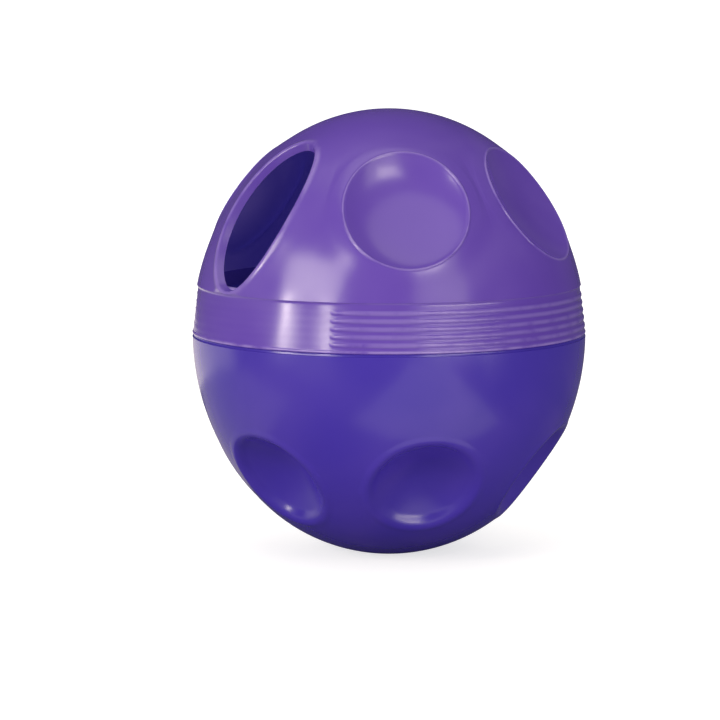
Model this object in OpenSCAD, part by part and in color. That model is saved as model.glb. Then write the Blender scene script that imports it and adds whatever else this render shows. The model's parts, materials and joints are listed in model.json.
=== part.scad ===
// Treat dispensing ball: an upright oval shell in two halves that twist apart to be filled.
// The upper half has the treat slot, five rimmed dimples and a ribbed grip band.
// The lower half has six soft dimples, and a neck whose lugs lock inside the upper half.

/* [Ball] */
// Outside width at the seam
ball_w = 68.2; // [64:0.2:70]
// Height from the seam to the pole of the oval
half_h = 38.7; // [37.5:0.1:42]
// Radius of the flat that the ball stands on
foot_r = 5; // [3:0.5:7]
// Wall thickness of both halves
wall = 2; // [1.6:0.1:2.4]

/* [Upper dimples] */
// Places in the upper row, one of which holds the slot
upper_places = 6; // [4:1:6]
// Width of a dimple inside its rim
upper_dimple_w = 21.4; // [16:0.2:23]
// Height of the dimples' centres above the seam
upper_dimple_z = 22.8; // [21:0.2:24]
// Radius of the bowl pressed into the wall
upper_bowl_r = 28; // [20:1:40]
// Thickness of the raised rim round each dimple
rim_w = 1; // [0.7:0.1:1.4]
// How far the rim stands out of the wall
rim_h = 0.3; // [0.15:0.05:0.4]

/* [Lower dimples] */
// Dimples in the lower row
lower_places = 6; // [4:1:6]
// Width of a dimple where its bowl begins
lower_dimple_w = 19.6; // [14:0.2:21]
// Depth of the dimples' centres below the seam
lower_dimple_z = 23.3; // [22:0.2:24]
// Radius of the bowl pressed into the wall
lower_bowl_r = 13; // [12:0.5:24]
// Width of the eased edge round each bowl
ease_w = 1.2; // [0.6:0.1:1.6]
// Turn of the lower row from the upper row
lower_turn = 7; // [0:1:59]

/* [Treat slot] */
// Clear length of the slot
slot_len = 27.2; // [20:0.2:29]
// Clear width of the slot
slot_w = 13.4; // [9:0.2:15]
// Height of the slot's centre above the seam
slot_z = 22.4; // [21.4:0.1:24]
// Lean of the slot's long axis from upright
slot_lean = 5; // [-8:1:8]
// Width of the raised lip round the slot
lip_w = 1.6; // [1:0.1:2.4]
// How far the lip stands out of the wall
lip_h = 0.25; // [0.1:0.05:0.4]

/* [Grip band] */
// Height of the band above the seam
band_h = 8.4; // [7.6:0.1:8.8]
// Depth of the band at its upper edge
band_top_depth = 0.6; // [0.4:0.05:0.8]
// Depth of the band just above the seam
band_low_depth = 0.25; // [0.1:0.05:0.4]
// Height of the plain lip left at the seam
seam_lip_h = 0.45; // [0.3:0.05:0.6]
// Number of grip ribs
rib_count = 5; // [3:1:5]
// Distance from rib to rib
rib_pitch = 1.31; // [1.1:0.01:1.35]
// Height of the lowest rib above the seam
rib_first_z = 1.45; // [1.2:0.05:1.5]
// Thickness of a rib
rib_w = 0.84; // [0.6:0.02:0.9]
// How far a rib stands out of the band
rib_h = 0.22; // [0.16:0.02:0.3]
// Angle of the plain panel under the slot
panel_angle = 75; // [45:15:120]

/* [Seam] */
// Depth of the shadow groove under the seam
groove_depth = 0.25; // [0.1:0.05:0.5]
// Height of the shadow groove
groove_h = 1.3; // [0.8:0.1:2]

/* [Twist lock] */
// Wall thickness of the upper half outside the lock
socket_wall = 3.1; // [2.8:0.1:3.6]
// Height of the neck above the seam
neck_h = 7; // [6:0.5:9]
// Wall thickness of the neck
neck_wall = 1.8; // [1.4:0.1:2.4]
// Gap between surfaces that pass each other
clearance = 0.3; // [0.2:0.05:0.4]
// How far a lug stands out of the neck
lug_depth = 1.1; // [0.9:0.05:1.3]
// Height of a lug and of a ledge
lug_h = 1.5; // [1.2:0.1:1.8]
// Number of lugs round the neck
lug_count = 3; // [2:1:3]
// Angle that one lug spans
lug_angle = 30; // [20:1:34]
// Height of the ledges' undersides above the seam
ledge_z = 1.2; // [0.8:0.1:1.6]
// Angle that one stop spans
stop_angle = 4; // [3:1:6]

/* [Hidden] */

// Facets of the source's own mesh, round the ball and round its smaller features
$fn = 48;
bowl_facets = 20;
rim_facets = 24;
rib_facets = 13;

upper_tint = [0.42, 0.33, 0.64];
lower_tint = [0.26, 0.19, 0.57];

// The ball's oval section has a long side arc that runs smoothly into a rounder end arc.
// The side arc's radius is a share of what a true ellipse has at its side.
side_share = 0.963;
half_w = ball_w / 2;
side_r = side_share * half_h * half_h / half_w;
side_c = half_w - side_r;
end_r = (side_r * side_r - side_c * side_c - half_h * half_h) / (2 * (side_r - half_h));
end_c = half_h - end_r;
join_angle = atan2(end_c, -side_c);

// The foot cuts the lower pole off flat, and its height sets where the seam lies.
foot_depth = end_r - sqrt(end_r * end_r - foot_r * foot_r);
seam_z = half_h - foot_depth;

// A recess left by the moulding gate in the middle of the foot
gate_r = 1.2;
gate_depth = 0.4;

// Cuts run past the surfaces that they open by this much.
overrun = 1;
// Added pieces reach this far into what carries them.
bite = 0.5;

// Height on the oval at which the side arc meets the end arc
function join_z(inset) = end_c + (end_r - inset) * sin(join_angle);

// Radius of the oval at a height from the seam
function oval_r(z, inset = 0) =
    abs(z) < join_z(inset)
    ? side_c + sqrt((side_r - inset) * (side_r - inset) - z * z)
    : sqrt((end_r - inset) * (end_r - inset) - (abs(z) - end_c) * (abs(z) - end_c));

// Angle above level at which the oval's surface faces at a height from the seam
function oval_tilt(z) =
    z < join_z(0) ? atan2(z, oval_r(z) - side_c) : atan2(z - end_c, oval_r(z));

// Slope of a dimple's axis: square to the chord between the rim's lowest and highest points
function chord_tilt(z, w) =
    let (rough = asin(z / half_h))
    let (rise = w / 2 * cos(rough))
    atan2(oval_r(z - rise) - oval_r(z + rise), 2 * rise);
function chord_r(z, w) =
    let (rise = w / 2 * cos(chord_tilt(z, w)))
    (oval_r(z - rise) + oval_r(z + rise)) / 2;

// Right half of the oval's upright section, drawn inwards by the inset
module oval(inset) {
    join = join_z(inset);
    reach = half_w + abs(inset);
    intersection() {
        translate([side_c, 0]) circle(side_r - inset);
        translate([0, -join]) square([reach, 2 * join]);
    }
    for (side = [0, 1]) mirror([0, side]) intersection() {
        translate([0, end_c]) circle(end_r - inset);
        translate([0, join]) square([reach, half_h]);
    }
}

// Revolves the upper half's main sections, starting in the middle of a dimple
module revolve() {
    rotate([0, 0, 180 / upper_places]) rotate_extrude() children();
}

// A ring sector about the ball's axis, centred on a direction
module sector(angle, middle) {
    rotate([0, 0, middle - angle / 2]) rotate_extrude(angle = angle) children();
}

// Carries its children from the origin to a dimple's rim, with +Z out of the ball
module at_dimple(z, w, turn) {
    rotate([0, 0, turn])
        translate([0, -chord_r(z, w), z])
            rotate([90 - chord_tilt(z, w), 0, 0])
                children();
}

// Places of the upper row that have a dimple, counted round from the slot
module upper_row() {
    for (k = [1:upper_places - 1])
        at_dimple(upper_dimple_z, upper_dimple_w, k * 360 / upper_places) children();
}

// Places of the lower row, laid out above the seam and turned over
module lower_row() {
    mirror([0, 0, 1])
        for (k = [0:lower_places - 1])
            at_dimple(lower_dimple_z, lower_dimple_w, lower_turn + k * 360 / lower_places)
                children();
}

// Ball that presses a bowl of a given mouth width into the wall, and a thickness more inside
module bowl(mouth_w, bowl_r, thickness) {
    translate([0, 0, sqrt(bowl_r * bowl_r - mouth_w * mouth_w / 4)])
        sphere(bowl_r + thickness, $fn = bowl_facets);
}

// Raised rim of an upper dimple: a round crest on a skirt that runs down into the wall
rim_steps = 6;
rim_sink = rim_w / 2 - rim_h;
module rim() {
    rotate_extrude($fn = rim_facets)
        translate([upper_dimple_w / 2 + rim_w / 4, -rim_sink])
            polygon([
                [-rim_w / 2, -wall / 2],
                [rim_w / 2, -wall / 2],
                for (k = [0:rim_steps]) let (a = k * 180 / rim_steps) rim_w / 2 * [cos(a), sin(a)]
            ]);
}

// The shallow cut that eases a lower dimple's edge, as a flatter bowl with a wider mouth
ease_mouth_w = lower_dimple_w + 2 * ease_w;
ease_bowl_r = 2 * lower_bowl_r;

// Carries its children to the slot's middle on the oval, with +Z out of the ball
slot_tilt = oval_tilt(slot_z);
module at_slot() {
    translate([0, -oval_r(slot_z), slot_z])
        rotate([90 - slot_tilt, 0, 0])
            rotate([0, 0, -slot_lean])
                children();
}

// Straight core through the wall, an oval that is wider than the clear slot by the growth
slot_sides = 48;
slot_reach = 5 * wall;
module slot_core(growth) {
    at_slot()
        translate([0, 0, -slot_reach])
            linear_extrude(slot_reach + wall)
                polygon([
                    for (k = [0:slot_sides - 1]) let (a = k * 360 / slot_sides)
                        [(slot_w / 2 + growth) * cos(a), (slot_len / 2 + growth) * sin(a)]
                ]);
}

// Raised lip round the slot, a step lower at its outer edge
module slot_lip() {
    intersection() {
        slot_core(lip_w);
        rotate_extrude() oval(-lip_h / 2);
    }
    intersection() {
        slot_core(lip_w / 2);
        rotate_extrude() oval(-lip_h);
    }
}

// Radius of the plain band surface at a height above the seam
band_low_r = oval_r(seam_lip_h) - band_low_depth;
band_top_r = oval_r(band_h) - band_top_depth;
function band_r(z) =
    band_low_r + (band_top_r - band_low_r) * (z - seam_lip_h) / (band_h - seam_lip_h);

// Section outside the band's sloping surface, to be cut away
module band_section() {
    polygon([
        [band_low_r, seam_lip_h],
        [band_low_r + band_low_depth + overrun, seam_lip_h],
        [band_low_r + band_low_depth + overrun, band_h + overrun],
        [oval_r(band_h) + overrun, band_h + overrun],
        [oval_r(band_h), band_h],
        [band_top_r, band_h - band_top_depth]
    ]);
}

// Grip ribs, low and round, that stop short of the plain panel
rib_r = (rib_w * rib_w / 4 + rib_h * rib_h) / (2 * rib_h);
module ribs() {
    for (k = [0:rib_count - 1]) {
        z = rib_first_z + k * rib_pitch;
        sector(360 - panel_angle, 90)
            translate([band_r(z) + rib_h - rib_r, z])
                circle(rib_r, $fn = rib_facets);
    }
}

// Sizes of the twist lock, worked out from the socket inwards
socket_r = half_w - socket_wall;
neck_r = socket_r - clearance - lug_depth;
ledge_r = neck_r + clearance;
ledge_top = ledge_z + lug_h;
lug_z = ledge_top + clearance;
stop_gap = clearance / socket_r * 180 / PI;
ledge_past = (lug_angle / 2) / 2;
ledge_angle = ledge_past + lug_angle + stop_gap + stop_angle + stop_gap;
stop_r = ledge_r + clearance;

// Ledges inside the upper half: each has a stop at one end, and lead-ins above and below
module ledges() {
    for (k = [0:lug_count - 1]) {
        turn = k * 360 / lug_count - 90;
        start = -lug_angle / 2 - ledge_past;
        sector(ledge_angle, turn + start + ledge_angle / 2)
            polygon([
                [ledge_r, ledge_z + lug_h / 2],
                [ledge_r, ledge_top],
                [socket_r + bite, ledge_top],
                [socket_r + bite, ledge_z - lug_h / 2],
                [socket_r, ledge_z - lug_h / 2 + clearance]
            ]);
        sector(stop_angle, turn + lug_angle / 2 + stop_gap + stop_angle / 2)
            translate([stop_r, ledge_top - bite])
                square([socket_r - stop_r + bite, lug_h + clearance + bite]);
    }
}

// Lugs round the neck, which hold the ledges down when the ball is closed
module lugs() {
    for (k = [0:lug_count - 1])
        sector(lug_angle, k * 360 / lug_count - 90)
            translate([neck_r - bite, lug_z])
                polygon([
                    [0, 0],
                    [lug_depth + bite, 0],
                    [lug_depth + bite, lug_h / 2],
                    [bite, lug_h + lug_h / 2],
                    [0, lug_h + lug_h / 2]
                ]);
}

// Hollow of the upper half: straight in the socket, then following the oval and the dimples
module upper_hollow() {
    difference() {
        revolve() intersection() {
            oval(wall);
            translate([0, -overrun]) square([socket_r, half_h]);
        }
        upper_row() bowl(upper_dimple_w, upper_bowl_r, wall);
    }
}

module upper_shell() {
    color(upper_tint) translate([0, 0, seam_z]) {
        difference() {
            union() {
                revolve() difference() {
                    intersection() {
                        oval(0);
                        square([ball_w, half_h + overrun]);
                    }
                    band_section();
                }
                ribs();
                upper_row() rim();
                slot_lip();
            }
            upper_row() bowl(upper_dimple_w, upper_bowl_r, 0);
            upper_hollow();
            slot_core(0);
        }
        ledges();
    }
}

// Hollow of the lower half: a bore through the neck that opens out under its root
module lower_hollow() {
    bore_r = neck_r - neck_wall;
    difference() {
        rotate_extrude() intersection() {
            oval(wall);
            polygon([
                [0, -half_h],
                [ball_w, -half_h],
                [ball_w, bore_r - ball_w - wall],
                [bore_r, -wall],
                [bore_r, neck_h + overrun],
                [0, neck_h + overrun]
            ]);
        }
        lower_row() bowl(lower_dimple_w, lower_bowl_r, wall);
    }
}

module lower_shell() {
    color(lower_tint) translate([0, 0, seam_z]) difference() {
        union() {
            rotate_extrude() {
                intersection() {
                    oval(0);
                    translate([0, -seam_z]) square([ball_w, seam_z - groove_h]);
                }
                intersection() {
                    oval(groove_depth);
                    translate([0, -groove_h - bite]) square([ball_w, groove_h + bite]);
                }
                translate([0, -wall]) square([neck_r, neck_h + wall]);
            }
            lugs();
        }
        lower_row() {
            bowl(lower_dimple_w, lower_bowl_r, 0);
            bowl(ease_mouth_w, ease_bowl_r, 0);
        }
        lower_hollow();
        translate([0, 0, -seam_z - overrun]) cylinder(h = gate_depth + overrun, r = gate_r);
    }
}

upper_shell();
lower_shell();
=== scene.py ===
import json
import math

import bmesh
import bpy
import numpy as np
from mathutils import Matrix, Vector


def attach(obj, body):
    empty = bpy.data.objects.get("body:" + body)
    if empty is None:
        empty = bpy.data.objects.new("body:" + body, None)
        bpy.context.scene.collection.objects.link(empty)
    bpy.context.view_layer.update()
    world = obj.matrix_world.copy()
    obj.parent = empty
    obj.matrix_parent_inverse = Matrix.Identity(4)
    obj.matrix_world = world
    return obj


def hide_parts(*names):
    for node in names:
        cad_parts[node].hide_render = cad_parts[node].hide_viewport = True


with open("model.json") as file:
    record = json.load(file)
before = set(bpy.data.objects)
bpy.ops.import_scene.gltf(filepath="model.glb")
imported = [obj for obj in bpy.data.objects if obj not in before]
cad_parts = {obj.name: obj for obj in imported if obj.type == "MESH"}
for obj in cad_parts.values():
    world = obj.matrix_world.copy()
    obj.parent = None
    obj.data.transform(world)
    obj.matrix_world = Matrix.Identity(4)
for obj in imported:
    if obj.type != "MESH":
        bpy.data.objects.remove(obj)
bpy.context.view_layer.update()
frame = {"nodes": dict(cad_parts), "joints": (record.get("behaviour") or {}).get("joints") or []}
print("frame loaded:", sorted(frame["nodes"]))

# Shapes are worked out in millimetres, with the seam at height 0, and GridBin.make puts them in place.
# Azimuths start at the slot and run anticlockwise seen from above. Angles in the dictionaries are in
# degrees, and tilts in the code are elevations of a surface's normal, in radians.
millimetre = 0.001
seamHeight = frame["joints"][0]["pos_m"][2] / millimetre

# What both halves share.
ball = {
    "width": 68.2,
    "halfHeight": 38.7,
    "sideShare": 0.963,  # side arc's radius, as a share of an ellipse's at its widest place
    "wall": 2.0,
    "capTilt": 74.0,  # where the six sectors give way to the cap
}
lock = {
    "neckRadius": 29.6,
    "neckHeight": 7.0,
    "neckWall": 1.8,
    "clearance": 0.3,
    "lugs": 3,
    "lugAngle": 30.0,
    "lugDepth": 1.1,
    "lugHeight": 1.5,
    "ledgeZ": 1.2,
    "stopAngle": 4.0,
    "sunk": 0.3,  # how far lugs, ledges and stops run into what carries them
    "columns": 12,  # columns of points along a lug or a ledge
    "stopColumns": 4,
}
meshing = {
    "capRows": 15,
    "slideSteps": 8,  # steps that bring a chart's point onto the oval
    "edgeRoom": 0.35,  # least room between a dimple's last ring and the sector's edge
    "footRoom": 0.03,  # least room between the oval's last ring and the foot
    "leastRadius": 1e-9,  # keeps a point on the ball's axis from a division by zero
    "mergeBelow": 2e-6,  # metres
    "collapseBelow": 1e-8,  # metres
    "sharpAngle": 38.0,  # edges that turn by more are shaded sharp
}


def ovalArcs(inset):
    # A side arc about (sideC, 0), and an end arc about (0, endC) that reaches the pole. They meet smoothly
    # on the line through both centres, whose distance is the difference of the radii.
    halfWidth, halfHeight = ball["width"] / 2, ball["halfHeight"]
    sideR = ball["sideShare"] * halfHeight ** 2 / halfWidth
    sideC = halfWidth - sideR
    endR = (sideR ** 2 - sideC ** 2 - halfHeight ** 2) / (2 * (sideR - halfHeight))
    endC = halfHeight - endR
    join = math.atan2(endC, -sideC)
    return sideC, sideR - inset, endC, endR - inset, join


def ovalPoint(tilt, inset=0.0):
    # Radius and height where the oval has this tilt: the arc's centre + its radius * (cos, sin).
    sideC, sideR, endC, endR, join = ovalArcs(inset)
    size = np.abs(tilt)
    onEnd = size > join
    radius = np.where(onEnd, endR * np.cos(size), sideC + sideR * np.cos(size))
    height = np.where(onEnd, endC + endR * np.sin(size), sideR * np.sin(size))
    return radius, height * np.sign(tilt)


def ovalTiltAt(height, inset=0.0):
    # The tilt at a height, from the arc that reaches it: its sine is (height - centre) / radius.
    sideC, sideR, endC, endR, join = ovalArcs(inset)
    size = np.abs(height)
    sine = np.where(size < sideR * math.sin(join), size / sideR, (size - endC) / endR)
    return np.copysign(np.arcsin(sine), height)


def ovalRadiusAt(height):
    # The outer oval's radius at a height, by way of its tilt there.
    return ovalPoint(ovalTiltAt(height))[0]


def ovalDistance(points, inset):
    # Signed distance to the oval, and its outward normal: how far the point is from the centre of the arc
    # that it lies over, less that arc's radius.
    sideC, sideR, endC, endR, join = ovalArcs(inset)
    x, y, z = points[..., 0], points[..., 1], points[..., 2]
    radius, height = np.maximum(np.hypot(x, y), meshing["leastRadius"]), np.abs(z)
    onEnd = np.arctan2(height, radius - sideC) > join
    alongR = np.where(onEnd, radius, radius - sideC)
    alongZ = np.where(onEnd, height - endC, height)
    reach = np.hypot(alongR, alongZ)
    distance = reach - np.where(onEnd, endR, sideR)
    outR, outZ = alongR / reach, alongZ / reach * np.sign(z)
    normal = np.stack([x / radius * outR, y / radius * outR, outZ], -1)
    return distance, normal


def makeChart(azimuth, tilt, radius, height):
    # A plane through a point at this radius and height, square to an axis out of the ball:
    # right runs round the ball, and up is the axis crossed with right.
    a = math.radians(azimuth)
    out, pole = np.array([math.sin(a), -math.cos(a), 0.0]), np.array([0.0, 0.0, 1.0])
    right = np.array([math.cos(a), math.sin(a), 0.0])
    axis = math.cos(tilt) * out + math.sin(tilt) * pole
    origin = radius * out + height * pole
    return {"origin": origin, "axis": axis, "right": right, "up": np.cross(axis, right), "azimuth": azimuth}


def chartPlane(chart, u, v):
    # Points of the plane: origin + u * right + v * up.
    return chart["origin"] + u[..., None] * chart["right"] + v[..., None] * chart["up"]


def toChart(chart, points):
    # The plane's u and v of points: how far they lie from its origin along right and along up.
    return (points - chart["origin"]) @ chart["right"], (points - chart["origin"]) @ chart["up"]


def chartToOval(chart, u, v, inset=0.0):
    # The plane's points, slid along its axis onto the oval: each step goes back by
    # distance / (normal . axis).
    points = chartPlane(chart, u, v)
    for _ in range(meshing["slideSteps"]):
        distance, normal = ovalDistance(points, inset)
        points = points - (distance / (normal @ chart["axis"]))[..., None] * chart["axis"]
    return points, ovalDistance(points, inset)[1]


def smoothStep(x, low, high):
    # t^2 (3 - 2 t), where t goes from 0 at low to 1 at high.
    t = np.clip((x - low) / (high - low), 0, 1)
    return t * t * (3 - 2 * t)


def bell(x, width):
    # exp(-(x / width)^2): 1 at 0, and down to 0.02 at twice the width.
    return np.exp(-(x / width) ** 2)


def spin(radius, height, azimuths):
    # Points round the ball's axis: (r sin a, -r cos a, z).
    a = np.radians(azimuths)
    return np.stack(np.broadcast_arrays(radius * np.sin(a), -radius * np.cos(a), height), -1)


def ringPoints(radius, height, azimuths):
    # A row of points round the ball's axis for each radius and height of a profile.
    return spin(np.asarray(radius)[..., None], np.asarray(height)[..., None], azimuths)


class GridBin:
    # Collects grids of points and joins them into one mesh.

    def __init__(self):
        self.points, self.faces, self.slots, self.wear, self.count = [], [], [], [], 0

    def add(self, grid, closed=False, flip=False, inside=False, wear=0.0):
        # Rows run outwards and columns anticlockwise, seen from outside the ball. A grid of the inside is
        # turned over and takes the second material. The last argument gives how strongly each point takes
        # the paler colour of a painted highlight line, from 0 to 1.
        rows, columns = grid.shape[:2]
        index = np.arange(rows * columns).reshape(rows, columns) + self.count
        after = np.roll(index, -1, axis=1) if closed else index[:, 1:]
        here = index if closed else index[:, :-1]
        quads = np.stack([here[:-1], here[1:], after[1:], after[:-1]], -1).reshape(-1, 4)
        self.faces.append(quads[:, ::-1] if flip or inside else quads)
        self.slots.append(np.full(len(quads), int(inside)))
        self.points.append(grid.reshape(-1, 3))
        self.wear.append((np.zeros(grid.shape[:2]) + wear).ravel())
        self.count += rows * columns

    def make(self, name):
        # Puts the grids in place as one mesh, merges points that meet and shades it smooth between edges.
        points = np.concatenate(self.points) + np.array([0, 0, seamHeight])
        faces = np.concatenate(self.faces)
        mesh = bpy.data.meshes.new(name)
        mesh.from_pydata((points * millimetre).tolist(), [], faces.tolist())
        mesh.polygons.foreach_set("material_index", np.concatenate(self.slots))
        mesh.attributes.new("wear", "FLOAT", "POINT").data.foreach_set("value", np.concatenate(self.wear))
        shape = bmesh.new()
        shape.from_mesh(mesh)
        bmesh.ops.remove_doubles(shape, verts=shape.verts, dist=meshing["mergeBelow"])
        bmesh.ops.dissolve_degenerate(shape, edges=shape.edges, dist=meshing["collapseBelow"])
        openEdges = sum(1 for edge in shape.edges if len(edge.link_faces) != 2)
        shape.to_mesh(mesh)
        shape.free()
        mesh.shade_smooth()
        mesh.set_sharp_from_angle(angle=math.radians(meshing["sharpAngle"]))
        piece = bpy.data.objects.new(name, mesh)
        bpy.context.scene.collection.objects.link(piece)
        print(f"{name}: {len(mesh.vertices)} points, {len(mesh.polygons)} faces, {openEdges} open edges")
        return piece


def sectorEdge(chart, edge, inset):
    # The sector's edge on the oval, anticlockwise from its lower left corner: along the bottom, up the
    # right side, back along the top and down the left side. The sides have equal steps of tilt.
    low, high = edge["lowTilt"], edge["highTilt"]
    bottom, top = chart["azimuth"] + edge["bottom"], chart["azimuth"] + edge["top"]
    sides = low + (high - low) * np.linspace(0, 1, edge["sideRows"] + 1)
    return np.concatenate([
        ringPoints(*ovalPoint(low, inset), bottom)[:-1],
        ringPoints(*ovalPoint(sides, inset), bottom[-1:])[:-1, 0],
        ringPoints(*ovalPoint(high, inset), top[::-1])[:-1],
        ringPoints(*ovalPoint(sides[::-1], inset), bottom[:1])[:-1, 0],
    ])


def fanOut(chart, ring, edgePoints, steps, inset, lift=None):
    # Rows from a ring to the sector's edge, straight in the plane and laid on the oval:
    # (1 - s) * ring + s * edge. lift gives how far each point is raised, from its s.
    ringU, ringV = ring
    edgeU, edgeV = toChart(chart, edgePoints)
    s = np.asarray(steps)[:, None]
    points, normals = chartToOval(chart, (1 - s) * ringU + s * edgeU, (1 - s) * ringV + s * edgeV, inset)
    if lift is not None:
        points = points + lift(s * np.ones_like(ringU))[..., None] * normals
    points[-1] = edgePoints
    return points


def chordTilt(z, width):
    # Tilt of a dimple's axis, square to the chord between its lowest and highest points, and the radius
    # of the chord's middle. The chord rises by width * cos(tilt), and asin(z / halfHeight) is a first
    # guess at the tilt.
    rise = width / 2 * math.cos(math.asin(z / ball["halfHeight"]))
    tilt = math.atan2(ovalRadiusAt(z - rise) - ovalRadiusAt(z + rise), 2 * rise)
    rise = width / 2 * math.cos(tilt)
    return tilt, (ovalRadiusAt(z - rise) + ovalRadiusAt(z + rise)) / 2


def dimpleRings(dimple, inside):
    # Radii of a dimple's rings. Outside they have wide steps up to the mouth, close ones across it, and
    # a few given places beyond it. Inside they have the given ranges in equal steps.
    rings, mouth = dimple["rings"], dimple["width"] / 2
    if inside:
        return np.concatenate([np.linspace(*part) for part in rings["inner"]])
    start, end = mouth - rings["closeIn"], mouth + rings["closeOut"]
    return np.concatenate([
        np.linspace(rings["first"], start, rings["wide"])[:-1],
        np.linspace(start, end, rings["close"]),
        mouth + np.array(rings["beyond"]),
    ])


def dimpleRim(dimple, r):
    # A rounded crest, 1 at the rim's middle: (1 - x^2)^1.5, where x runs from -1 to 1 across it.
    rim = dimple["rim"]
    away = r - dimple["width"] / 2 - rim["width"] / 2
    across = away / (rim["width"] * rim["reach"])
    return (1 - np.clip(across, -1, 1) ** 2) ** 1.5


def dimpleLift(dimple, r):
    # The rim, height * crest, and a fillet, height * bell(distance) from the rim's middle outwards, which a
    # smooth step brings down to nothing inwards.
    rim = dimple["rim"]
    outside = r - dimple["width"] / 2 - rim["width"] / 2
    fillet = rim["filletHeight"] * bell(np.maximum(outside, 0), rim["filletWidth"])
    return rim["height"] * dimpleRim(dimple, r) + fillet * smoothStep(outside, -rim["width"], 0)


def dimpleSector(store, chart, edge, dimple, inset):
    # Rings about the dimple's axis, stretched by its across and along shares, then a fan to the edge.
    # Inside the mouth the outer surface is depth * (q^power - 1), with q^2 = (r^2 + s^2) / (m^2 + s^2),
    # where m is the mouth's radius and s the soften value that rounds the middle. The inner surface there
    # is a plain bowl, c - sqrt(R^2 - r^2). Beyond the mouth both are the oval, and the outer one carries
    # the rim if there is one. A smooth step in r changes one into the other.
    inside = inset > 0
    rimmed = "rim" in dimple and not inside
    mouth = dimple["width"] / 2
    edgePoints = sectorEdge(chart, edge, inset)
    edgeU, edgeV = toChart(chart, edgePoints)
    edgeU, edgeV = edgeU / dimple["across"], edgeV / dimple["along"]
    angle, toEdge = np.arctan2(edgeV, edgeU), np.hypot(edgeU, edgeV)
    radii = dimpleRings(dimple, inside)
    radii = radii[radii < toEdge.min() - meshing["edgeRoom"]]

    r = radii[:, None] * np.ones_like(angle)
    u, v = r * np.cos(angle) * dimple["across"], r * np.sin(angle) * dimple["along"]
    if inside:
        bowlR = dimple["bowlRadius"]
        height = math.sqrt(bowlR ** 2 - mouth ** 2) - np.sqrt((bowlR + inset) ** 2 - r ** 2)
    else:
        soften = dimple["soften"]
        reach = np.sqrt((r ** 2 + soften ** 2) / (mouth ** 2 + soften ** 2))
        height = dimple["depth"] * (reach ** dimple["power"] - 1)
    onBowl = chartPlane(chart, u, v) + height[..., None] * chart["axis"]
    onOval, normals = chartToOval(chart, u, v, inset)
    change = smoothStep(r, mouth - dimple["easeIn"], mouth + dimple["easeOut"])[..., None]
    grid = onBowl * (1 - change) + onOval * change
    # The rim's crest takes a painted highlight, a paler colour.
    highlightPaint = 0.0
    if rimmed:
        grid = grid + dimpleLift(dimple, r)[..., None] * normals
        highlightPaint = dimple["rim"]["highlightPaint"] * dimpleRim(dimple, r)
    store.add(grid, closed=True, inside=inside, wear=highlightPaint)
    middle = grid[:1].mean(axis=1, keepdims=True) * np.ones_like(grid[:1])
    store.add(np.concatenate([middle, grid[:1]]), closed=True, inside=inside)

    def fade(s):
        # The rim's fillet goes on past the last ring, and is gone at the sector's edge.
        return dimpleLift(dimple, radii[-1] + s * (toEdge - radii[-1])) * (1 - s)

    steps = np.linspace(0, 1, edge["fanRows"] + 1)
    fan = fanOut(chart, (u[-1], v[-1]), edgePoints, steps, inset, fade if rimmed else None)
    fan[0] = grid[-1]
    store.add(fan, closed=True, inside=inside)


def capGrid(store, tilt, inset, azimuths, foot=None):
    # The oval from the sectors' ends to the pole, in equal steps of tilt. A foot, given as points of
    # radius and height, takes the place of what lies within it.
    side = math.copysign(1, tilt)
    tilts = np.linspace(abs(tilt), math.pi / 2, meshing["capRows"]) * side
    profile = np.stack(ovalPoint(tilts, inset), -1)
    profile[-1, 0] = 0.0
    if foot is not None:
        profile = np.concatenate([profile[profile[:, 0] > foot[0, 0] + meshing["footRoom"]], foot])
    grid = ringPoints(*profile.T, azimuths)
    store.add(grid[::-1] if side > 0 else grid[::-1, ::-1], closed=True, inside=inset > 0)


def ringSector(store, outline, start, end, columns):
    # A closed outline of (radius, height) points carried from one azimuth to another, with flat ends.
    outline = np.asarray(outline)
    grid = ringPoints(*outline.T, np.linspace(start, end, columns))
    store.add(np.concatenate([grid, grid[:1]]), flip=True)
    for column, flip in ((0, False), (-1, True)):
        rim = grid[:, column]
        centre = np.repeat(rim.mean(axis=0)[None], len(rim), 0)
        store.add(np.stack([centre, rim]), closed=True, flip=flip)


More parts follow.
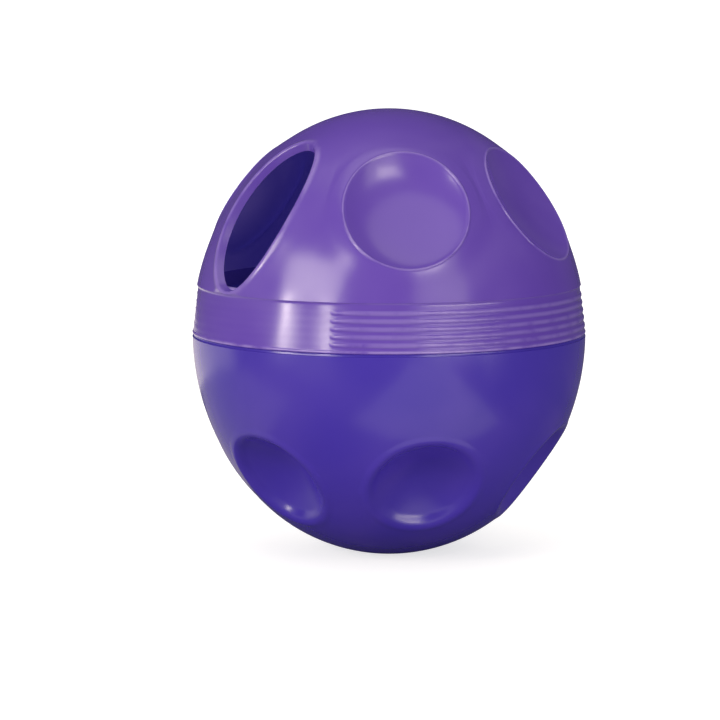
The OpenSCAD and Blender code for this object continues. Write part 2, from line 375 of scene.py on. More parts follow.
upper = {
    "places": 6,  # the slot takes the first, and dimples take the others
    "socketRadius": 31.0,
    "socketEase": 0.1,  # at the socket's mouth
    "bottomColumns": 26,  # along one sector's lower edge
    "topColumns": 10,
    "sideRows": 22,
    "fanRows": 12,
    "innerFanRows": 5,
    "dimple": {
        "width": 21.4,
        "across": 0.964,
        "along": 1.029,
        "z": 23.0,
        "bowlRadius": 28.0,  # on the inside
        "depth": 2.0,
        "power": 2.8,  # 2 is a bowl, and more is a flatter floor with steeper sides
        "soften": 0.0,
        "easeIn": 0.3,
        "easeOut": 0.2,
        "rim": {
            "width": 0.36,
            "height": 0.15,
            "reach": 0.75,  # of the crest to either side, as a share of the width
            "filletHeight": 0.22,
            "filletWidth": 2.7,
            "highlightPaint": 0.5,  # painted highlight on the crest
        },
        "rings": {
            "first": 0.8,  # radius of the first ring
            "wide": 13,  # count of the rings up to the close ones
            "close": 31,
            "closeIn": 0.8,  # how far inside the mouth the close rings start
            "closeOut": 1.6,  # how far outside it they end
            "beyond": (1.85, 2.15, 2.5),  # further rings, from the mouth outwards
            "inner": ((2.5, 8.5, 4), (9.3, 13.0, 6)),  # first radius, last radius and count
        },
    },
    "slot": {
        "z": 22.4,
        "length": 27.2,
        "width": 14.9,
        "lean": 5.0,
        "bead": 0.46,  # radius of the lip's crest
        "lipAcross": 0.8,  # from the crest in to the opening's edge
        "lipDrop": 1.4,  # from the crest down to the opening's edge
        "lipHeight": 0.3,
        "crestHeight": 0.13,
        "crestWidth": 0.5,
        "filletWidth": 2.1,
        "thinWidth": 1.3,  # over which the wall thins towards the opening
        "highlightPaint": 0.6,  # painted highlight on the crest
        # over which the crest's painted highlight fades down the face
        "highlightPaintDrop": 0.2,
        "crestRows": 9,
        "faceRows": 6,
        "nearShare": 0.3,  # share of the way to the sector's edge that has the close rows
        "nearRows": 15,
        "farRows": 12,
        "innerRows": 14,
        "innerPower": 1.5,  # more crowds the inner rows nearer to the opening
    },
    "band": {
        "height": 8.4,
        "topDepth": 0.24,
        "lowDepth": 0.14,
        "coveWidth": 0.16,
        "lipHeight": 0.45,  # of the lip at the seam
        "lipEase": 0.12,
        "seamRound": 0.2,  # radius of the edge at the seam
        "roundRows": 7,
        "lipTop": 0.7,  # where the lip's rows give way to the ribs'
        "lipRows": 8,
        "coveFoot": 7.2,  # where the cove's rows start
        "coveRows": 15,
        "seamHighlightZ": 0.3,  # height over the seam of the painted highlight line
        "seamHighlightWidth": 0.2,
        "topHighlightPaint": 0.4,  # painted highlight just under the top edge
        "topHighlightWidth": 0.15,
    },
    "ribs": {
        "count": 5,
        "pitch": 1.31,
        "first": 1.45,
        "width": 0.84,
        "height": 0.17,
        "panel": 75.0,  # of the plain panel under the slot
        "panelShare": 0.04,  # share of the ribs' height that still shows on the panel
        "endEase": 1.1,
        "endColumns": 7,
        "endRoom": 1.6,  # room that the close columns take, as a share of endEase
        "past": 0.6,  # how far their rows go past the last rib, in pitches
        "rows": 62,
        # painted highlight on the ribs' crests
        "highlightPaint": 0.5,
    },
}


def ribMask(azimuths):
    # 1 where the band has ribs, and next to nothing on the panel, with a smooth step between.
    ribs = upper["ribs"]
    away = np.abs((azimuths + 180) % 360 - 180)
    half = ribs["panel"] / 2
    return ribs["panelShare"] + (1 - ribs["panelShare"]) * smoothStep(
        away, half - ribs["endEase"], half + ribs["endEase"])


def bandRadius(z):
    # The plain band: a straight line between its depths under the oval at its foot and at its top.
    band = upper["band"]
    low = ovalRadiusAt(band["lipHeight"]) - band["lowDepth"]
    high = ovalRadiusAt(band["height"]) - band["topDepth"]
    return low + (high - low) * (z - band["lipHeight"]) / (band["height"] - band["lipHeight"])


def bandGrid(azimuths):
    # The band's outer surface from the seam up, and its painted highlights, pale lines that stand for
    # light on the ribs' crests, over the seam and under the top edge. Ribs add sqrt(R^2 - dz^2) - (R - h)
    # to the plain band. The lip at the seam brings it out to the oval, and so does a cove under the top
    # edge, (oval - band) * exp(-t / w) at a distance t. The edge at the seam is a quarter circle.
    band, ribs = upper["band"], upper["ribs"]
    top, rounding = band["height"], band["seamRound"]
    ribsEnd = ribs["first"] + (ribs["count"] - 1 + ribs["past"]) * ribs["pitch"]
    z = np.unique(np.round(np.concatenate([
        np.linspace(0, rounding, band["roundRows"]),
        np.linspace(rounding, band["lipTop"], band["lipRows"]),
        np.linspace(band["lipTop"], ribsEnd, ribs["rows"]),
        np.linspace(band["coveFoot"], top, band["coveRows"]),
    ]), 4))[:, None]
    bump = np.zeros_like(z)
    ribR = (ribs["width"] ** 2 / 4 + ribs["height"] ** 2) / (2 * ribs["height"])
    for k in range(ribs["count"]):
        away = np.minimum(np.abs(z - ribs["first"] - k * ribs["pitch"]), ribR)
        bump = np.maximum(bump, np.sqrt(ribR ** 2 - away ** 2) - (ribR - ribs["height"]))
    cove = np.exp((z - top) / band["coveWidth"])
    lip = 1 - smoothStep(z, band["lipHeight"] - band["lipEase"], band["lipHeight"] + band["lipEase"])
    plain = bandRadius(z)
    plain = plain + (ovalRadiusAt(z) - plain) * np.clip(cove + lip, 0, 1)
    short = np.clip(1 - z / rounding, 0, 1)
    corner = rounding * (1 - np.sqrt(1 - short ** 2))
    ribbed = ribMask(azimuths)
    radius = plain + bump * ribbed - corner
    radius[-1] = ovalRadiusAt(top)
    # Painted highlights: a paler colour on the ribs' crests, a line over the seam and one under the top
    # edge.
    highlightPaint = ribs["highlightPaint"] * bump / ribs["height"] * ribbed
    highlightPaint = highlightPaint + bell(z - band["seamHighlightZ"], band["seamHighlightWidth"])
    highlightPaint = highlightPaint + band["topHighlightPaint"] * bell(z - top, band["topHighlightWidth"]) * (z < top)
    return spin(radius, z, azimuths), np.clip(highlightPaint, 0, 1)


def slotSector(store, chart, edge, innerEdge):
    # The lip's crest follows an ellipse. Its section, measured towards the opening and outwards, is an arc
    # (r sin w, d - r + r cos w), with r the bead and d the drop, and then the arc's tangent to the
    # opening's sharp edge. One fan goes from the crest to the sector's edge, and one from the opening's
    # edge over the inside.
    slot = upper["slot"]
    lean, bead, drop = math.radians(slot["lean"]), slot["bead"], slot["lipDrop"]
    edgeOut = sectorEdge(chart, edge, 0.0)
    edgeU, edgeV = toChart(chart, edgeOut)
    a, b = slot["width"] / 2 + slot["lipAcross"], slot["length"] / 2 + slot["lipAcross"]
    along = edgeU * math.sin(lean) + edgeV * math.cos(lean)
    across = edgeU * math.cos(lean) - edgeV * math.sin(lean)
    angle = np.unwrap(np.arctan2(along / b, across / a))  # on the ellipse, towards each point of the edge
    x, y = a * np.cos(angle), b * np.sin(angle)
    u, v = x * math.cos(lean) + y * math.sin(lean), -x * math.sin(lean) + y * math.cos(lean)
    base, normals = chartToOval(chart, u, v, drop - slot["lipHeight"])
    ahead = np.roll(base, -1, axis=0) - np.roll(base, 1, axis=0)
    inwards = np.cross(normals, ahead / np.linalg.norm(ahead, axis=1, keepdims=True))
    opening = np.array([slot["lipAcross"], 0.0])
    tangent = math.acos(bead / math.hypot(slot["lipAcross"], drop - bead))
    arcEnd = math.pi - math.atan2(slot["lipAcross"], drop - bead) - tangent
    turn = np.linspace(0, arcEnd, slot["crestRows"])
    arc = np.stack([bead * np.sin(turn), drop - bead + bead * np.cos(turn)], -1)
    face = arc[-1] + np.linspace(0, 1, slot["faceRows"] + 1)[1:, None] * (opening - arc[-1])
    section = np.concatenate([arc, face])[:, None]
    lip = base + section[..., :1] * inwards + section[..., 1:] * normals
    # The lip's crest takes a painted highlight, a paler colour that fades down the face.
    highlightPaint = slot["highlightPaint"] * bell(drop - section[..., 1], slot["highlightPaintDrop"])
    store.add(lip[::-1], closed=True, wear=highlightPaint[::-1])

    crest, heel = toChart(chart, lip[0]), toChart(chart, lip[-1])
    span = np.hypot(edgeU - crest[0], edgeV - crest[1])
    near = slot["nearShare"]
    steps = np.concatenate([
        near * np.linspace(0, 1, slot["nearRows"] + 1)[:-1] ** 2,
        np.linspace(near, 1, slot["farRows"]),
    ])

    def outerLift(s):
        # A narrow bell on a wide one, gone at the sector's edge.
        narrow = slot["crestHeight"] * bell(s * span, slot["crestWidth"])
        wide = (slot["lipHeight"] - slot["crestHeight"]) * bell(s * span, slot["filletWidth"])
        return (narrow + wide) * (1 - s ** 3)

    outer = fanOut(chart, crest, edgeOut, steps, 0.0, outerLift)
    outer[0] = lip[0]
    # The painted highlight reaches a little way out from the crest.
    store.add(outer, closed=True, wear=slot["highlightPaint"] * bell(steps[:, None] * span, slot["crestWidth"]))

    edgeIn = sectorEdge(chart, innerEdge, ball["wall"])
    inU, inV = toChart(chart, edgeIn)
    innerSpan = np.hypot(inU - heel[0], inV - heel[1])
    thinned = ball["wall"] + slot["lipHeight"] - drop

    def innerLift(s):
        # A bell as high as the wall is thinned, gone at the sector's edge.
        return thinned * bell(s * innerSpan, slot["thinWidth"]) * (1 - s ** 3)

    innerSteps = np.linspace(0, 1, slot["innerRows"]) ** slot["innerPower"]
    inner = fanOut(chart, heel, edgeIn, innerSteps, ball["wall"], innerLift)
    inner[0] = lip[-1]
    store.add(inner, closed=True, inside=True)


def upperColumns(place):
    # Azimuths along a sector's lower edge, from its middle: even steps, with close ones where the ribs end.
    ribs, half = upper["ribs"], 180 / upper["places"]
    even = np.linspace(-half, half, upper["bottomColumns"] + 1)
    panelEnd = ribs["panel"] / 2 - 2 * half
    if place == 1:
        end = panelEnd
    elif place == upper["places"] - 1:
        end = -panelEnd
    else:
        return even
    close = end + np.linspace(-ribs["endEase"], ribs["endEase"], ribs["endColumns"])
    even = even[np.abs(even - end) > ribs["endEase"] * ribs["endRoom"]]
    return np.unique(np.round(np.concatenate([even, close]), 6))


def addLedges(store):
    # The lock's ledges and stops: outlines carried round the socket, which pass the lugs by the clearance.
    socket, sunk = upper["socketRadius"], lock["sunk"]
    rise, clearance = lock["lugHeight"], lock["clearance"]
    ledgeR = lock["neckRadius"] + clearance
    stopR, back = ledgeR + clearance, socket + sunk
    low, top = lock["ledgeZ"], lock["ledgeZ"] + rise
    stopTop = top + rise + clearance
    ledge = [(ledgeR, low + rise / 2), (back, low - rise / 2), (back, top), (ledgeR, top)]
    stop = [(stopR, top - sunk), (back, top - sunk), (back, stopTop), (stopR, stopTop)]
    half, gap = lock["lugAngle"] / 2, math.degrees(clearance / socket)
    for k in range(lock["lugs"]):
        middle = k * 360 / lock["lugs"]
        stopStart = middle + half + gap
        stopEnd = stopStart + lock["stopAngle"]
        ringSector(store, ledge, middle - half - half / 2, stopEnd + gap, lock["columns"])
        ringSector(store, stop, stopStart, stopEnd, lock["stopColumns"])


def buildUpper():
    # Six sectors and a cap, outside and inside, then the band, the socket down to the seam, and the ledges.
    store = GridBin()
    wall, socket, dimple, slot = ball["wall"], upper["socketRadius"], upper["dimple"], upper["slot"]
    capTilt = math.radians(ball["capTilt"])
    sideC, sideR = ovalArcs(wall)[:2]
    innerLow = math.acos((socket - sideC) / sideR)
    half = 180 / upper["places"]
    top = np.linspace(-half, half, upper["topColumns"] + 1)
    tilt, chordR = chordTilt(dimple["z"], dimple["width"])
    bottomAll, topAll = [], []
    for place in range(upper["places"]):
        azimuth = place * 360 / upper["places"]
        bottom = upperColumns(place)
        bottomAll.append(azimuth + bottom[:-1])
        topAll.append(azimuth + top[:-1])
        edge = {
            "lowTilt": ovalTiltAt(upper["band"]["height"]), "highTilt": capTilt,
            "bottom": bottom, "top": top,
            "sideRows": upper["sideRows"], "fanRows": upper["fanRows"],
        }
        innerEdge = dict(edge, lowTilt=innerLow, fanRows=upper["innerFanRows"])
        if place == 0:
            chart = makeChart(azimuth, ovalTiltAt(slot["z"]), ovalRadiusAt(slot["z"]), slot["z"])
            slotSector(store, chart, edge, innerEdge)
        else:
            chart = makeChart(azimuth, tilt, chordR, dimple["z"])
            dimpleSector(store, chart, edge, dimple, 0.0)
            dimpleSector(store, chart, innerEdge, dimple, wall)
    bottomAll, topAll = np.concatenate(bottomAll), np.concatenate(topAll)
    capGrid(store, capTilt, 0.0, topAll)
    capGrid(store, capTilt, wall, topAll)
    # The band, with its painted highlight lines.
    band, highlightPaint = bandGrid(bottomAll)
    store.add(band[::-1], closed=True, wear=highlightPaint[::-1])
    innerZ, ease = sideR * math.sin(innerLow), upper["socketEase"]
    seamR = ball["width"] / 2 - upper["band"]["seamRound"]
    under = [(socket, innerZ), (socket, innerZ / 2), (socket, ease), (socket + ease, 0.0), (seamR, 0.0)]
    store.add(ringPoints(*np.array(under).T, bottomAll)[::-1], closed=True)
    addLedges(store)
    return store


upperPiece = buildUpper().make("upper_shell_dressed")
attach(upperPiece, "upper_half")
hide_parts("upper_shell")

lower = {
    "places": 6,
    "turn": 7.0,  # of the lower row from the upper row
    "grooveDepth": 0.25,
    "grooveHeight": 0.5,
    "grooveEase": 0.1,  # at the groove's upper edge
    "grooveRow": 0.22,
    "grooveRound": 0.06,  # where the groove's back meets its floor
    "edgeEase": (0.07, 0.03),  # across and up at the groove's lower edge
    "neckRound": 0.25,  # radius of the neck's upper edges
    "roundShare": 0.3,  # where a rounded edge's middle lies from the corner, as a share of the radius
    "rootEase": 0.15,  # at the neck's root
    "neckRow": 1.2,  # rows this far from the corners keep the neck's sides flat
    "rootRow": 1.0,
    "boreRow": 1.5,
    "slopeDepth": 12.0,  # how far down the hollow's slope is followed, and in how many steps
    "slopeSteps": 2000,
    "bottomColumns": 10,
    "topColumns": 26,
    "sideRows": 22,
    "fanRows": 11,
    "innerFanRows": 5,
    "dimple": {
        "width": 19.6,
        "across": 1.0,
        "along": 1.0,
        "z": 23.3,  # below the seam
        "bowlRadius": 13.0,  # on the inside
        "depth": 4.9,
        "power": 1.6,
        "soften": 2.0,
        "easeIn": 2.0,
        "easeOut": 1.4,
        "rings": {
            "first": 0.8,
            "wide": 12,
            "close": 25,
            "closeIn": 2.3,
            "closeOut": 2.5,
            "beyond": (),
            "inner": ((2.0, 7.0, 4), (7.8, 11.8, 6)),
        },
    },
    "foot": {
        "radius": 5.0,
        "edgeRise": 0.02,
        "edgeIn": 0.15,
        "rings": (3.4, 2.2),
        "gateRadius": 1.2,
        "gateDepth": 0.4,
        "gateEase": 0.12,
        "gateRise": 0.05,
        "gateDraft": 0.06,
        "gateRing": 0.6,
    },
}


def footProfile():
    # Radius and height of the flat foot and the gate's recess in it, from the edge to the middle.
    foot, floor = lower["foot"], -seamHeight
    edge, gate, roof = foot["radius"], foot["gateRadius"], floor + foot["gateDepth"]
    return np.array([
        (edge + foot["edgeRise"], floor + foot["edgeRise"]),
        (edge - foot["edgeIn"], floor),
        *((ring, floor) for ring in foot["rings"]),
        (gate + foot["gateEase"], floor),
        (gate, floor + foot["gateRise"]),
        (gate - foot["gateDraft"], roof - foot["gateRise"]),
        (foot["gateRing"], roof),
        (0.0, roof),
    ])


def neckProfile(slopeEnd):
    # Radius and height from the hollow's slope up through the bore, over the neck and down into the groove.
    wall, bore = ball["wall"], lock["neckRadius"] - lock["neckWall"]
    neck, top, row = lock["neckRadius"], lock["neckHeight"], lower["neckRow"]
    bend, edge = lower["neckRound"], lower["neckRound"] * lower["roundShare"]
    back, floor = ball["width"] / 2 - lower["grooveDepth"], -lower["grooveHeight"]
    ease, corner, root = lower["grooveEase"], lower["grooveRound"], lower["rootEase"]
    outer, (across, up) = ovalRadiusAt(floor), lower["edgeEase"]
    return np.array([
        slopeEnd, (bore + row, -wall - row), (bore, -wall), (bore, -wall + lower["boreRow"]),
        (bore, top - row), (bore, top - bend), (bore + edge, top - edge), (bore + bend, top),
        (neck - bend, top), (neck - edge, top - edge), (neck, top - bend), (neck, top - row),
        (neck, lower["rootRow"]), (neck, root), (neck + root, 0.0),
        (back - ease, 0.0), (back, -ease), (back, floor + lower["grooveRow"]),
        (back + corner, floor + corner), (outer - across, floor + up), (outer, floor),
    ])


def addLugs(store):
    # The lock's lugs: one outline carried round the neck, with a slope on top.
    neck, rise = lock["neckRadius"], lock["lugHeight"]
    back, out = neck - lock["sunk"], neck + lock["lugDepth"]
    low = lock["ledgeZ"] + rise + lock["clearance"]
    top = low + rise + rise / 2
    lug = [(back, low), (out, low), (out, low + rise / 2), (neck, top), (back, top)]
    for k in range(lock["lugs"]):
        middle, half = k * 360 / lock["lugs"], lock["lugAngle"] / 2
        ringSector(store, lug, middle - half, middle + half, lock["columns"])


def buildLower():
    # Six sectors and a cap, outside and inside, then the neck with the groove, and the lugs.
    store = GridBin()
    wall, dimple = ball["wall"], lower["dimple"]
    capTilt = -math.radians(ball["capTilt"])
    # under the neck's root the hollow opens out at 45 degrees, down to where it meets the wall's inside
    sideC, sideR = ovalArcs(wall)[:2]
    slopeZ = np.linspace(-wall, -lower["slopeDepth"], lower["slopeSteps"] + 1)
    slopeR = lock["neckRadius"] - lock["neckWall"] - wall - slopeZ
    meets = slopeZ[np.argmax(slopeR >= sideC + np.sqrt(sideR ** 2 - slopeZ ** 2))]
    innerHigh = ovalTiltAt(meets, wall)
    half = 180 / lower["places"]
    bottom = np.linspace(-half, half, lower["bottomColumns"] + 1)
    top = np.linspace(-half, half, lower["topColumns"] + 1)
    tilt, chordR = chordTilt(dimple["z"], dimple["width"])
    bottomAll, topAll = [], []
    for place in range(lower["places"]):
        azimuth = lower["turn"] + place * 360 / lower["places"]
        bottomAll.append(azimuth + bottom[:-1])
        topAll.append(azimuth + top[:-1])
        edge = {
            "lowTilt": capTilt, "highTilt": ovalTiltAt(-lower["grooveHeight"]),
            "bottom": bottom, "top": top,
            "sideRows": lower["sideRows"], "fanRows": lower["fanRows"],
        }
        innerEdge = dict(edge, highTilt=innerHigh, fanRows=lower["innerFanRows"])
        chart = makeChart(azimuth, -tilt, chordR, -dimple["z"])
        dimpleSector(store, chart, edge, dimple, 0.0)
        dimpleSector(store, chart, innerEdge, dimple, wall)
    bottomAll, topAll = np.concatenate(bottomAll), np.concatenate(topAll)
    capGrid(store, capTilt, 0.0, bottomAll, footProfile())
    capGrid(store, capTilt, wall, bottomAll)
    innerR, innerZ = ovalPoint(innerHigh, wall)
    store.add(ringPoints(*neckProfile((innerR, innerZ)).T, topAll), closed=True)
    addLugs(store)
    return store


lowerPiece = buildLower().make("lower_shell_dressed")
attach(lowerPiece, "lower_half")
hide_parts("lower_shell")

# Marks on the plastic: the noise's scale, detail and distortion, and the two levels that it is spread over.
marks = {
    "Flow": (34.0, 2.0, 1.2, 0.3, 0.75),
    # breaks up the painted highlight lines
    "Edges": (260.0, 3.0, 0.0, 0.2, 0.6),
    "Smudges": (70.0, 3.0, 0.0, 0.4, 0.7),
}
# Unevenness of the surface: the noise's scale and detail, and its depth in metres.
bumps = {
    "Ripple": (95.0, 1.0, 0.001),
    "Grain": (2600.0, 1.0, 0.00003),
}


def addNode(tree, kind, values):
    # A new node with these values on its sockets.
    node = tree.nodes.new(kind)
    for socket, value in values.items():
        node.inputs[socket].default_value = value
    return node


def makeMouldedGroup():
    # Colour, roughness and normal of moulded plastic, all from the place on the piece: flow marks,
    # painted highlight lines in a paler colour along edges and crests, dull smudges, and a slow ripple
    # with a fine grain.
    group = bpy.data.node_groups.new("mouldedPlastic", "ShaderNodeTree")
    inputs = {"Deep": "Color", "Lit": "Color"}
    inputs.update(dict.fromkeys(("Flow", "Edges", "Gloss", "Smudges", "Ripple", "Grain"), "Float"))
    outputs = {"Color": "Color", "Roughness": "Float", "Normal": "Vector"}
    for side, sockets in (("INPUT", inputs), ("OUTPUT", outputs)):
        for name, kind in sockets.items():
            group.interface.new_socket(name=name, in_out=side, socket_type="NodeSocket" + kind)
    nodes, links = group.nodes, group.links
    entry, leave = nodes.new("NodeGroupInput").outputs, nodes.new("NodeGroupOutput").inputs
    place = nodes.new("ShaderNodeTexCoord").outputs["Object"]

    def noise(scale, detail, distortion=0.0):
        values = {"Scale": scale, "Detail": detail, "Distortion": distortion}
        node = addNode(group, "ShaderNodeTexNoise", values)
        links.new(place, node.inputs["Vector"])
        return node.outputs["Fac"]

    def markMask(name):
        scale, detail, distortion, low, high = marks[name]
        node = addNode(group, "ShaderNodeMapRange", {"From Min": low, "From Max": high})
        node.interpolation_type = "SMOOTHSTEP"
        links.new(noise(scale, detail, distortion), node.inputs["Value"])
        return node.outputs["Result"]

    def combine(operation, first, second, clamp=False):
        node = nodes.new("ShaderNodeMath")
        node.operation = operation
        node.use_clamp = clamp
        links.new(first, node.inputs[0])
        links.new(second, node.inputs[1])
        return node.outputs[0]

    flow = combine("MULTIPLY", markMask("Flow"), entry["Flow"])
    # The painted highlights: the paler colour where the mesh's highlight value is high, broken up by the
    # Edges noise. Flow marks mix towards the same colour.
    wear = nodes.new("ShaderNodeAttribute")
    wear.attribute_name = "wear"
    highlightPaint = combine("MULTIPLY", wear.outputs["Fac"], markMask("Edges"))
    highlightPaint = combine("MULTIPLY", highlightPaint, entry["Edges"])
    colour = nodes.new("ShaderNodeMix")
    colour.data_type = "RGBA"
    links.new(combine("ADD", flow, highlightPaint, clamp=True), colour.inputs["Factor"])
    links.new(entry["Deep"], colour.inputs["A"])
    links.new(entry["Lit"], colour.inputs["B"])
    links.new(colour.outputs["Result"], leave["Color"])
    smudges = combine("MULTIPLY", markMask("Smudges"), entry["Smudges"])
    links.new(combine("ADD", smudges, entry["Gloss"], clamp=True), leave["Roughness"])

    normal = None
    for name, (scale, detail, depth) in bumps.items():
        bump = addNode(group, "ShaderNodeBump", {"Distance": depth})
        links.new(entry[name], bump.inputs["Strength"])
        links.new(noise(scale, detail), bump.inputs["Height"])
        if normal is not None:
            links.new(normal, bump.inputs["Normal"])
        normal = bump.outputs["Normal"]
    links.new(normal, leave["Normal"])
    return group


mouldedGroup = makeMouldedGroup()


def makePlastic(name, values):
    # A glossy shader that takes its colour, roughness and normal from the shared group.
    material = bpy.data.materials.new(name)
    material.use_nodes = True
    tree = material.node_tree
    shader = tree.nodes["Principled BSDF"]
    shader.inputs["IOR"].default_value = values["ior"]
    shader.inputs["Emission Color"].default_value = (*values["glowColor"], 1)
    shader.inputs["Emission Strength"].default_value = values["glow"]
    surface = tree.nodes.new("ShaderNodeGroup")
    surface.node_tree = mouldedGroup
    for socket in surface.inputs:
        value = values[socket.name.lower()]
        socket.default_value = (*value, 1) if isinstance(value, tuple) else value
    for socket, target in (("Color", "Base Color"), ("Roughness", "Roughness"), ("Normal", "Normal")):
        tree.links.new(surface.outputs[socket], shader.inputs[target])
    return material


# A faint glow, stronger inside, stands for the light that comes through the thin wall.
plastic = {
    # how strong the painted highlight lines along edges and crests are
    "edges": 0.60,
    "gloss": 0.20,
    "smudges": 0.05,
    "ripple": 0.20,
    "grain": 0.10,
    "ior": 1.6,
    "glow": 0.04,
    "glowColor": (0.12, 0.09, 0.80),
}
insideGlow = 0.07
upperPlastic = dict(plastic, deep=(0.092, 0.043, 0.325), lit=(0.300, 0.230, 0.530), flow=0.12)
lowerPlastic = dict(plastic, deep=(0.036, 0.018, 0.296), lit=(0.150, 0.090, 0.450), flow=0.15)
for piece, name, values in ((upperPiece, "upper", upperPlastic), (lowerPiece, "lower", lowerPlastic)):
    # The inside takes the paler colour as its base: painted light for what comes through the wall.
    insideValues = dict(values, glow=insideGlow, deep=values["lit"])
    piece.data.materials.append(makePlastic(name + "Plastic", values))
    piece.data.materials.append(makePlastic(name + "PlasticInside", insideValues))
print("materials made")

view = {
    "azimuth": 53.6,
    "elevation": 6.5,
    "distance": 0.6,  # metres, as all the distances of the camera, the lamps and the floor are
    "edgePixels": 196.6,  # half the ball's width in the photograph
    "seamPixel": (389.0, 331.3),  # the seam's centre in the photograph
    "imagePixels": 720,
    "sensor": 36.0,  # millimetres
    "clipEnd": 100.0,
}
seamCentre = Vector((0, 0, seamHeight * millimetre))


def around(azimuth, elevation, distance):
    # A point round the seam's centre: distance * (sin a cos e, -cos a cos e, sin e).
    a, e = math.radians(azimuth), math.radians(elevation)
    out = Vector((math.sin(a) * math.cos(e), -math.cos(a) * math.cos(e), math.sin(e)))
    return seamCentre + distance * out


def faceBall(thing):
    # Turns a camera or a lamp to look at the seam's centre.
    thing.rotation_euler = (seamCentre - thing.location).to_track_quat("-Z", "Y").to_euler()


# The lens gives the ball its width in pixels: its outline lies where rays touch it, so half its width over
# the length of such a ray is edgePixels over the focal length in pixels.
camera = bpy.data.objects.new("camera", bpy.data.cameras.new("camera"))
bpy.context.scene.collection.objects.link(camera)
bpy.context.scene.camera = camera
camera.location = around(view["azimuth"], view["elevation"], view["distance"])
faceBall(camera)
halfWidth = ball["width"] / 2 * millimetre
focalPixels = view["edgePixels"] * math.sqrt(view["distance"] ** 2 - halfWidth ** 2) / halfWidth
camera.data.sensor_width = view["sensor"]
camera.data.lens = focalPixels / view["imagePixels"] * camera.data.sensor_width
camera.data.shift_x = 0.5 - view["seamPixel"][0] / view["imagePixels"]
camera.data.shift_y = view["seamPixel"][1] / view["imagePixels"] - 0.5
camera.data.clip_end = view["clipEnd"]

lampColour = (1.0, 0.90, 0.78)
# name: azimuth from the camera, elevation, distance, width, height, strength in watts
lamps = {
    "keyBox": (-49, 23, 0.9, 0.56, 0.34, 3.5),
    "leftLeg": (-61, 2, 0.9, 0.07, 0.40, 2.5),
    "rightLeg": (-38, 2, 0.9, 0.06, 0.40, 1.6),
    "sideBox": (32, 18, 0.9, 0.48, 0.70, 1.6),
    "sideSpot": (27, 31, 0.9, 0.26, 0.18, 0.7),
    "rightCard": (42, -1, 0.5, 0.40, 0.06, 0.45),
    "leftCard": (-132, -11, 0.16, 0.24, 0.04, 0.03),
    "overhead": (0, 80, 1.0, 1.1, 1.1, 3.2),
    "backFill": (180, 38, 0.9, 0.8, 0.6, 2.2),
}
# Low lights on the floor beside the ball, which shine straight up.
# name: azimuth from the camera, distance from the ball's axis, width, depth, strength in watts
floorCards = {
    "rightFloorCard": (20, 0.15, 0.08, 0.20, 0.035),
    "leftFloorCard": (-112, 0.10, 0.16, 0.12, 0.018),
}
floorCardHeight = 0.001


def addLamp(name, width, height, power):
    # An area lamp that the camera doesn't see.
    data = bpy.data.lights.new(name, "AREA")
    data.shape = "RECTANGLE"
    data.size, data.size_y, data.energy = width, height, power
    data.color = lampColour
    lamp = bpy.data.objects.new(name, data)
    lamp.visible_camera = False
    bpy.context.scene.collection.objects.link(lamp)
    return lamp


for name, (azimuth, elevation, distance, width, height, power) in lamps.items():
    lamp = addLamp(name, width, height, power)
    lamp.location = around(view["azimuth"] + azimuth, elevation, distance)
    faceBall(lamp)
bpy.data.lights["overhead"].shape = "ELLIPSE"
bpy.data.objects["backFill"].visible_glossy = False  # it only lifts the shade behind
for name, (azimuth, distance, width, depth, power) in floorCards.items():
    lamp = addLamp(name, width, depth, power)
    lamp.location = around(view["azimuth"] + azimuth, 0, distance)
    lamp.location.z = floorCardHeight
    lamp.rotation_euler = (math.pi, 0, math.radians(view["azimuth"] + azimuth))

studio = {
    "worldLight": 0.43,
    "worldMirrored": 0.05,
    "floor": 0.50,
    "floorMirrored": 0.12,
    "floorRoughness": 0.9,
    "floorSpecular": 0.1,
    "floorGlow": 0.70,  # at the ball, up to 1 further out
    "fadeStart": 0.1,
    "fadeEnd": 0.7,
    "floorSize": 9.0,
}


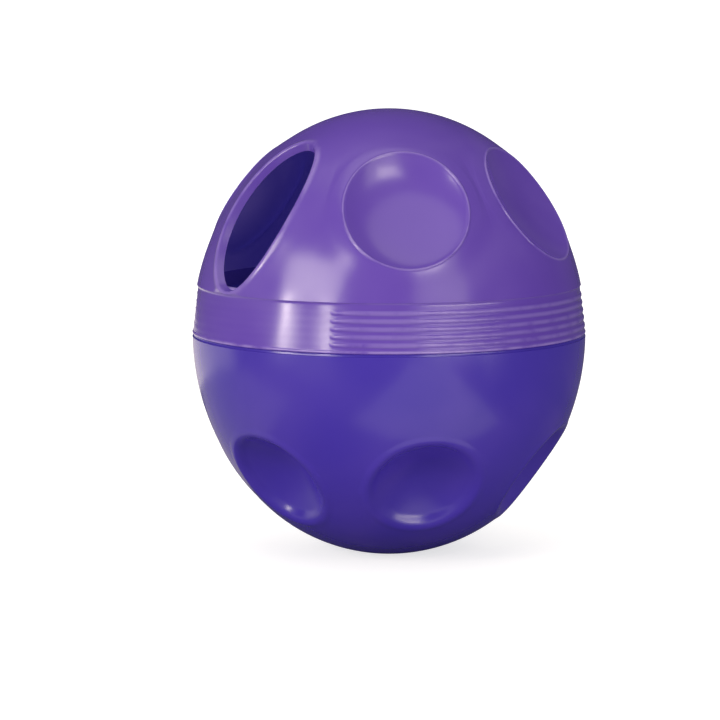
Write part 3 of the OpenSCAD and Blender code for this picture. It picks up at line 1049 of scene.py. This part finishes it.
def makeWorld():
    # The world is plain white to the camera and gives a dim, even light to everything else. Both it
    # and the floor are darker where the plastic mirrors them, as black cards beside the ball would
    # make them.
    world = bpy.data.worlds.new("studio")
    bpy.context.scene.world = world
    world.use_nodes = True
    tree = world.node_tree
    links, background = tree.links, tree.nodes["Background"]
    rays = tree.nodes.new("ShaderNodeLightPath").outputs
    light = {"To Min": studio["worldLight"], "To Max": studio["worldMirrored"]}
    mirrored = addNode(tree, "ShaderNodeMapRange", light)
    strength = addNode(tree, "ShaderNodeMapRange", {"To Max": 1.0})
    links.new(rays["Is Glossy Ray"], mirrored.inputs["Value"])
    links.new(mirrored.outputs["Result"], strength.inputs["To Min"])
    links.new(rays["Is Camera Ray"], strength.inputs["Value"])
    background.inputs["Color"].default_value = (1, 1, 1, 1)
    links.new(strength.outputs["Result"], background.inputs["Strength"])


def makePaleFloor():
    # The floor keeps the ball's shadow, and glows white to the camera further out, so that no
    # horizon shows.
    material = bpy.data.materials.new("paleFloor")
    material.use_nodes = True
    tree = material.node_tree
    nodes, links = tree.nodes, tree.links
    shader = nodes["Principled BSDF"]
    shader.inputs["Roughness"].default_value = studio["floorRoughness"]
    shader.inputs["Specular IOR Level"].default_value = studio["floorSpecular"]
    shader.inputs["Emission Color"].default_value = (1, 1, 1, 1)
    rays = nodes.new("ShaderNodeLightPath").outputs
    greys = {"To Min": studio["floor"], "To Max": studio["floorMirrored"]}
    paint = addNode(tree, "ShaderNodeMapRange", greys)
    links.new(rays["Is Glossy Ray"], paint.inputs["Value"])
    links.new(paint.outputs["Result"], shader.inputs["Base Color"])
    away = nodes.new("ShaderNodeVectorMath")
    away.operation = "LENGTH"
    links.new(nodes.new("ShaderNodeTexCoord").outputs["Object"], away.inputs[0])
    reach = {"From Min": studio["fadeStart"], "From Max": studio["fadeEnd"], "To Min": studio["floorGlow"]}
    fade = addNode(tree, "ShaderNodeMapRange", reach)
    links.new(away.outputs["Value"], fade.inputs["Value"])
    glow = nodes.new("ShaderNodeMath")
    glow.operation = "MULTIPLY"
    links.new(rays["Is Camera Ray"], glow.inputs[0])
    links.new(fade.outputs["Result"], glow.inputs[1])
    links.new(glow.outputs[0], shader.inputs["Emission Strength"])
    return material


makeWorld()
floorMesh = bpy.data.meshes.new("floor")
corners = np.array([(-1, -1, 0), (1, -1, 0), (1, 1, 0), (-1, 1, 0)]) * studio["floorSize"]
floorMesh.from_pydata(corners.tolist(), [], [(0, 1, 2, 3)])
floorMesh.materials.append(makePaleFloor())
floor = bpy.data.objects.new("floor", floorMesh)
bpy.context.scene.collection.objects.link(floor)
bpy.context.scene.view_settings.view_transform = "Standard"
print("camera, lights and floor placed")
